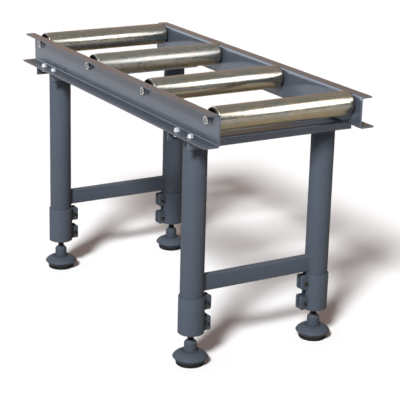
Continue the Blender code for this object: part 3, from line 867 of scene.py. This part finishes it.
# %% [markdown]
# ## Axles
# Each roller turns on a fixed 12 mm axle between the webs. A bolt goes into each end from outside, with
# a washer under its bright, grooved head. Axle, bolts and washers never move against each other, so
# they are one piece. The heads stand at different angles.

# %% Axles and their bolts
axle_radius, axle_half, axle_edge = 0.006, 0.191, 0.0005
head_end = extent("roller_1_axle", "X")[1]
head_start = head_end - axle_bolt_height
washer_start = head_start - 0.0020
shaft = laid(spun(rounded([
    (0, -axle_half, 0), (axle_radius, -axle_half, axle_edge),
    (axle_radius, axle_half, axle_edge), (0, axle_half, 0),
], 3), 64), "X")
groove_floor, groove_mouth = head_end - 0.0022, head_end + 0.001
groove = spun([
    (0.0026, groove_floor), (0.0056, groove_floor), (0.0062, groove_mouth), (0.0022, groove_mouth),
], 48)
end_bolt = together(
    rod(0.005, axle_half - 0.002, head_start + 0.001),
    washer(0.0052, 0.0112, washer_start, head_start),
    combined("DIFFERENCE", hexagon(axle_bolt_across, head_start, head_end), groove),
)

for number, y in enumerate(roller_places, start=1):
    right_bolt = laid(turned(end_bolt, 0.8 + 0.5 * number), "X")
    left_bolt = turned(laid(turned(end_bolt, 0.35 * number), "X"), math.pi)
    axle = moved(together(shaft, right_bolt, left_bolt), y=y, z=roller_height)
    name = f"roller_{number}_axle"
    add_piece(name + "_set", axle, bolt_zinc, "frame", name)
print("4 axles with", len(end_bolt.polygons), "faces a bolt")

# %% [markdown]
# ## Threads
# A thread shows between foot and sleeve, and where a clamp bolt stands out of its nut. A bump can't cut
# into an outline, so the thread is real: rings of points whose radius follows a saw that climbs one
# pitch a turn. It climbs to the right, as the foot's coupling in the CAD expects.

# %% Threaded rods
def threaded(radius, depth, pitch, start, end, sides=28, steps=6):
    """Rod along Z with a right-hand thread and tapered ends."""
    bm = bmesh.new()
    count = max(2, round((end - start) / pitch * steps))
    rings = []
    for level in range(count + 1):
        z = start + (end - start) * level / count
        taper = max(0.0, depth - min(z - start, end - z))
        ring = []
        for n, turn in enumerate(turns(sides)):
            climb = (z / pitch - n / sides) % 1.0
            valley = min(1.0, 1.25 * (1.0 - abs(2.0 * climb - 1.0)))
            r = radius - max(depth * valley, taper)
            ring.append(bm.verts.new((r * math.cos(turn), r * math.sin(turn), z)))
        rings.append(ring)
    skin(bm, rings)
    bm.faces.new(rings[0])
    bm.faces.new(rings[-1])
    return closed_mesh(bm)


print("10 mm of M8 thread has", len(threaded(0.004, 0.0007, 0.00125, 0, 0.01).polygons), "faces")

# %% [markdown]
# ## Crossmembers and rail bolts
# A wide shallow channel lies under the rails at each pair of legs, lips down. Four bolts go down through
# the rails' lower flanges and through it, with a washer under each head and a nut below. They sit a
# little to the front of its middle, as in the picture. The CAD has one solid for channel and bolts.
# One is painted and the others plated, so here they are two pieces.

# %% Crossmembers
clearance = 0.0003
cross_half = half_size("front_crossmember", "Y")
cross_top = rail_bottom - clearance
cross_lip = extent("front_crossmember", "Z")[0]
cross_end = extent("front_crossmember", "X")[1]
cross_sheet, cross_bend, cross_edge = 0.003, 0.002, 0.0005
inside = cross_half - cross_sheet
under_channel = cross_top - cross_sheet
channel = pushed(rounded([
    (-cross_half, cross_lip, cross_edge), (-inside, cross_lip, cross_edge),
    (-inside, under_channel, cross_bend), (inside, under_channel, cross_bend),
    (inside, cross_lip, cross_edge), (cross_half, cross_lip, cross_edge),
    (cross_half, cross_top, cross_bend + cross_sheet), (-cross_half, cross_top, cross_bend + cross_sheet),
]), "X", -cross_end, cross_end)

on_flange = rail_bottom + sheet + clearance
rail_bolt = together(
    hexagon(0.013, under_channel - 0.0053, under_channel, True),
    rod(0.004, under_channel - 0.0016, on_flange + 0.0028),
    washer(0.0042, 0.008, on_flange, on_flange + 0.0012),
    hexagon(0.0112, on_flange + 0.0012, on_flange + 0.0076),
)
ends = {"front": -leg_y, "rear": leg_y}
bolt_spots = [(x, step) for x in (-bolt_x, bolt_x) for step in bolt_steps]
for end, y in ends.items():
    placed = moved(channel, y=y)
    add_piece(end + "_channel", placed, lightened_channel_paint, "frame", end + "_crossmember", 0.0003)
    bolts = []
    for index, (x, step) in enumerate(bolt_spots):
        bolts.append(moved(turned(rail_bolt, 0.45 * index + y), x, y + bolt_shift + step))
    add_piece(end + "_rail_bolts", together(*bolts), white_zinc, "frame")
print("2 crossmembers with", len(bolt_spots), "bolts each")

# %% [markdown]
# ## Legs and crossbars
# The legs are round tube. Their lower ends are slotted, so that the sleeve can squeeze them onto the
# inner legs. A rectangular tube with rounded corners ties two legs together, and its ends are coped
# to the round of the leg. The cope is cut with a rod the size of the leg, as a hole saw does it.

# %% Leg tubes and crossbars
leg_radius, leg_wall, leg_edge = half_size("front_left_leg_tube", "X"), 0.0035, 0.0004
leg_bottom, leg_top = extent("front_left_leg_tube", "Z")
bar_bottom, bar_top = extent("front_crossbar", "Z")
bar_half, bar_round, bar_wall = half_size("front_crossbar", "Y"), 0.003, 0.002
slit_half, around_leg = 0.004, leg_radius + clearance


def pipe(bore, radius, start, end, bore_edge, edge, steps=3, sides=96):
    """Tube along Z with rounded edges."""
    return spun(rounded([
        (bore, start, bore_edge), (radius, start, edge), (radius, end, edge), (bore, end, bore_edge),
    ], steps), sides)


def slit_tool(reach, start, end):
    """Blade that slits a tube's wall on its +X side."""
    blade = [(0, -slit_half), (reach, -slit_half), (reach, slit_half), (0, slit_half)]
    return pushed(blade, "Z", start, end)


def bar_outline(inset, radius):
    half, low, high = bar_half - inset, bar_bottom + inset, bar_top - inset
    return rounded([(-half, low, radius), (half, low, radius), (half, high, radius), (-half, high, radius)])


leg_tube = pipe(leg_radius - leg_wall, leg_radius, leg_bottom, leg_top, leg_edge, leg_edge, 2)
leg_tube = combined("DIFFERENCE", leg_tube, slit_tool(0.06, 0.06, 0.165))
cope = rod(around_leg, 0.15, 0.26, 96)
crossbar = combined(
    "DIFFERENCE",
    pushed(bar_outline(0.0, bar_round), "X", -leg_x, leg_x),
    pushed(bar_outline(bar_wall, 0.001), "X", -0.25, 0.25),
    together(moved(cope, x=-leg_x), moved(cope, x=leg_x)),
)
sides = {"left": -leg_x, "right": leg_x}
legs = {f"{end}_{side}": (x, y) for end, y in ends.items() for side, x in sides.items()}
for leg, (x, y) in legs.items():
    tube = moved(leg_tube, x, y, half_turn=x > 0)
    add_piece(leg + "_outer_leg", tube, leg_paint, "frame", leg + "_leg_tube")
for end, y in ends.items():
    add_piece(end + "_tie_bar", moved(crossbar, y=y), leg_paint, "frame", end + "_crossbar")
print(len(legs), "legs and 2 crossbars,", len(crossbar.polygons), "faces a bar")

# %% [markdown]
# ## Weld beads
# Crossbars and crossmembers are welded to the legs, and the beads show under the paint as rippled
# rolls. A bead is a round section led along the seam, which swells with each drop of weld.
# A bevelled curve could follow the seam too, but it couldn't ripple.

# %% Welds
def weld_bead(seam, radius, drop=0.0030, sides=10):
    """Rippled roll along a closed seam of points."""
    bm = bmesh.new()
    rings = []
    walked = 0.0
    for index, here in enumerate(seam):
        after = seam[(index + 1) % len(seam)]
        along = (after - seam[index - 1]).normalized()
        across = along.orthogonal().normalized()
        if abs(along.z) < 0.9:
            across = along.cross(Vector((0, 0, 1))).normalized()
        other = along.cross(across)
        ripple = 0.13 * math.sin(2 * math.pi * walked / drop) + 0.06 * math.sin(41.0 * walked / drop)
        swell = radius * (1.0 + ripple)
        bead = [here + (across * math.cos(t) + other * math.sin(t)) * swell for t in turns(sides)]
        rings.append([bm.verts.new(point) for point in bead])
        walked += (after - here).length
    skin(bm, rings + rings[:1])
    return closed_mesh(bm)


def evenly(points, step):
    """Points of a closed path, a step apart."""
    spaced = []
    for here, after in zip(points, points[1:] + points[:1]):
        count = max(1, round((after - here).length / step))
        spaced += [here.lerp(after, n / count) for n in range(count)]
    return spaced


def bar_seam(x):
    seam = []
    for y, z in evenly(bar_outline(0.0, bar_round), 0.0007):
        reach = math.sqrt(leg_radius**2 - y**2)
        seam.append(Vector((x - math.copysign(reach, x), y, z)))
    return seam


ring_seam = [Vector(point) for point in circle(leg_radius + 0.0008, leg_top - 0.0009, 250)]
top_ring = weld_bead(ring_seam, 0.0019)
for end, y in ends.items():
    beads = [moved(weld_bead(bar_seam(x), 0.0016), y=y) for x in sides.values()]
    beads += [moved(top_ring, x, y) for x in sides.values()]
    add_piece(end + "_welds", together(*beads), leg_paint, "frame")
print("8 weld beads,", len(top_ring.polygons), "faces a ring")

# %% [markdown]
# ## Clamp sleeves
# A split collar sits on each leg's slotted end. Two pairs of ears reach inwards beside the slit, and a
# bolt through each pair pulls the collar tight. It is spun, joined with two rounded blocks, then
# bored, slit and drilled, in a machinist's order.

# %% Clamp sleeves
sleeve_radius = round(extent("front_right_clamp_sleeve", "X")[1] - leg_x, 5)
sleeve_top = extent("front_right_clamp_sleeve", "Z")[1]
ear_root, ear_tip, ear_half, ear_height, ear_round = 0.01, 0.0480, 0.012, 0.036, 0.004
bolt_heights = {level: middle(f"front_left_clamp_bolt_{level}", "Z") for level in ("lower", "upper")}
clamp_x = leg_x - middle("front_right_clamp_bolt_lower", "X")

collar = spun(rounded([
    (0, leg_bottom, 0), (sleeve_radius, leg_bottom, 0.0018),
    (sleeve_radius, sleeve_top, 0.0010), (0, sleeve_top, 0),
], 4), 128)
ears = []
holes = []
for height in bolt_heights.values():
    low, high = height - ear_height / 2, height + ear_height / 2
    block = rounded([
        (ear_root, low, 0), (ear_tip, low, ear_round),
        (ear_tip, high, ear_round), (ear_root, high, 0),
    ])
    ears.append(pushed(block, "Y", -ear_half, ear_half))
    holes.append(moved(laid(rod(0.0035, -0.05, 0.05, 32), "Y"), clamp_x, 0, height))
sleeve = combined("UNION", collar, together(*ears))
bore = rod(around_leg, 0.05, 0.20, 128)
sleeve = combined("DIFFERENCE", sleeve, bore, slit_tool(0.09, 0.05, 0.20), together(*holes))

for leg, (x, y) in legs.items():
    placed = moved(sleeve, x, y, half_turn=x > 0)
    add_piece(leg + "_split_sleeve", placed, leg_paint, "frame", leg + "_clamp_sleeve", 0.0007)
print("4 sleeves,", len(sleeve.polygons), "faces each")

# %% [markdown]
# ## Clamp bolts
# The clamp bolts lie along the stand, heads to the front and nuts to the back. They are the same
# shapes at 6 mm: a turned-down hexagon, a shank, a nut and the thread that stands out of it.

# %% Clamp bolts
clamp_radius, clamp_across, ear_face = 0.003, 0.00975, ear_half + clearance
clamp_head_end, clamp_nut_end, shank_end = 0.01626, 0.0171, 0.0160
clamp_bolt = laid(together(
    turned(hexagon(clamp_across, ear_face, clamp_head_end), math.pi, "X"),
    rod(clamp_radius, -0.0140, shank_end, 32),
    hexagon(clamp_across, ear_face, clamp_nut_end, True),
    threaded(clamp_radius, 0.0006, 0.001, shank_end, 0.0206),
), "Y")
for leg, (x, y) in legs.items():
    for level, height in bolt_heights.items():
        name = f"{leg}_clamp_bolt_{level}"
        placed = moved(clamp_bolt, x - math.copysign(clamp_x, x), y, height)
        add_piece(name + "_set", placed, worn_and_glinting_oxide, "frame", name)
print("8 clamp bolts,", len(clamp_bolt.polygons), "faces each")

# %% [markdown]
# ## Inner legs
# The inner legs slide out of the leg tubes by 300 mm. They are drawn tube, with a plug in the lower end
# that the spindle screws into. At rest they are hidden, but they have to look right as soon as a leg
# is pulled out. Both are pipes like the leg tubes. One helper puts the same pieces on every leg.

# %% Inner legs and plugs
inner_bottom, inner_top = extent("front_left_inner_leg", "Z")
inner_radius = half_size("front_left_inner_leg", "X")
inner_bore = inner_radius - 0.003
inner_leg = pipe(inner_bore, inner_radius, inner_bottom, inner_top, 0.0005, 0.0008)
plug_top = extent("front_left_leg_plug", "Z")[1]
plug_bore, plug_radius = 0.0085, half_size("front_left_leg_plug", "X")
leg_plug = pipe(plug_bore, plug_radius, inner_bottom, plug_top, 0.0008, 0.0006, sides=64)


def on_each_leg(*rows):
    """Adds pieces at each leg, from rows of name, shape, finish, body, slot and CAD node. The slot is not
    used.
    """
    for leg, (x, y) in legs.items():
        for name, mesh, finish, body, slot, node in rows:
            placed = moved(mesh, x, y)
            add_piece(f"{leg}_{name}", placed, finish, f"{leg}_{body}", f"{leg}_{node}")


on_each_leg(
    ("slide_tube", inner_leg, drawn_steel, "leg", "plain_steel", "inner_leg"),
    ("thread_plug", leg_plug, drawn_steel, "leg", "plain_steel", "leg_plug"),
)
print("4 inner legs,", round(inner_top - inner_bottom, 3), "m long")

# %% [markdown]
# ## Levelling feet
# A threaded spindle screws the foot up and down. Its thick lower end turns in the boss of a cast foot,
# which steps out into a low dome with a sharp rim, and a rubber pad is plugged in underneath.
# Their outlines are the whole design, so foot and pad are spun from them.

# %% Spindles
spindle_bottom, spindle_top = extent("front_left_spindle", "Z")
shoulder_radius, shoulder_top, neck_top, thread_start = 0.0093, 0.036, 0.0385, 0.0380
screw_radius, screw_depth, screw_pitch = 0.008, 0.0011, 0.002
spindle = together(
    spun(rounded([
        (0, spindle_bottom, 0), (shoulder_radius, spindle_bottom, 0.0015),
        (shoulder_radius, shoulder_top, 0.0012), (0.0070, neck_top, 0.0), (0, neck_top, 0),
    ], 4), 48),
    threaded(screw_radius, screw_depth, screw_pitch, thread_start, spindle_top, 32),
)
on_each_leg(("screw", spindle, black_oxide, "spindle", "black_steel", "spindle"))
print("4 spindles,", len(spindle.polygons), "faces each")

# %% Foot plates and pads
foot_bottom, foot_top = extent("front_left_foot_plate", "Z")
pad_bottom, pad_top = extent("front_left_foot_pad", "Z")
boss_bore, boss_radius, socket_radius = 0.0085, 0.0157, 0.0098
foot_plate = spun(rounded([
    (boss_bore, foot_top, 0.0003), (0.0095, foot_top, 0.0004),
    (boss_radius, 0.0553, 0.0016), (boss_radius, 0.0338, 0.0006),
    (0.0220, 0.0331, 0.0040), (0.0290, 0.0310, 0.0060),
    (0.0355, 0.0275, 0.0060), (0.0405, 0.0232, 0.0050),
    (0.0436, 0.0188, 0.0005), (0.0362, 0.0104, 0.0004),
    (0.0360, foot_bottom, 0), (0.0308, foot_bottom, 0),
    (0.0308, 0.0148, 0), (socket_radius, 0.0205, 0),
    (socket_radius, 0.0365, 0), (boss_bore, 0.0378, 0),
], 5))
pad_radius, pad_shoulder, pad_plug = 0.0350, 0.0095, 0.0305
pad_groove = pad_radius - 0.0005
foot_pad = spun(rounded([
    (0, pad_bottom, 0), (pad_radius, pad_bottom, 0.0014),
    (pad_radius, 0.0038, 0.0002), (pad_groove, 0.0042, 0.0002),
    (pad_groove, 0.0048, 0.0002), (pad_radius, 0.0052, 0.0002),
    (pad_radius, pad_shoulder, 0.0008), (pad_plug, pad_shoulder, 0),
    (pad_plug, pad_top, 0.0004), (0, pad_top, 0),
], 3))
on_each_leg(
    ("foot_dome", foot_plate, darkened_foot_paint, "foot", "paint", "foot_plate"),
    ("rubber_pad", foot_pad, pad_rubber, "foot", "black_rubber", "foot_pad"),
)
print("4 feet,", len(foot_plate.polygons), "faces a dome")
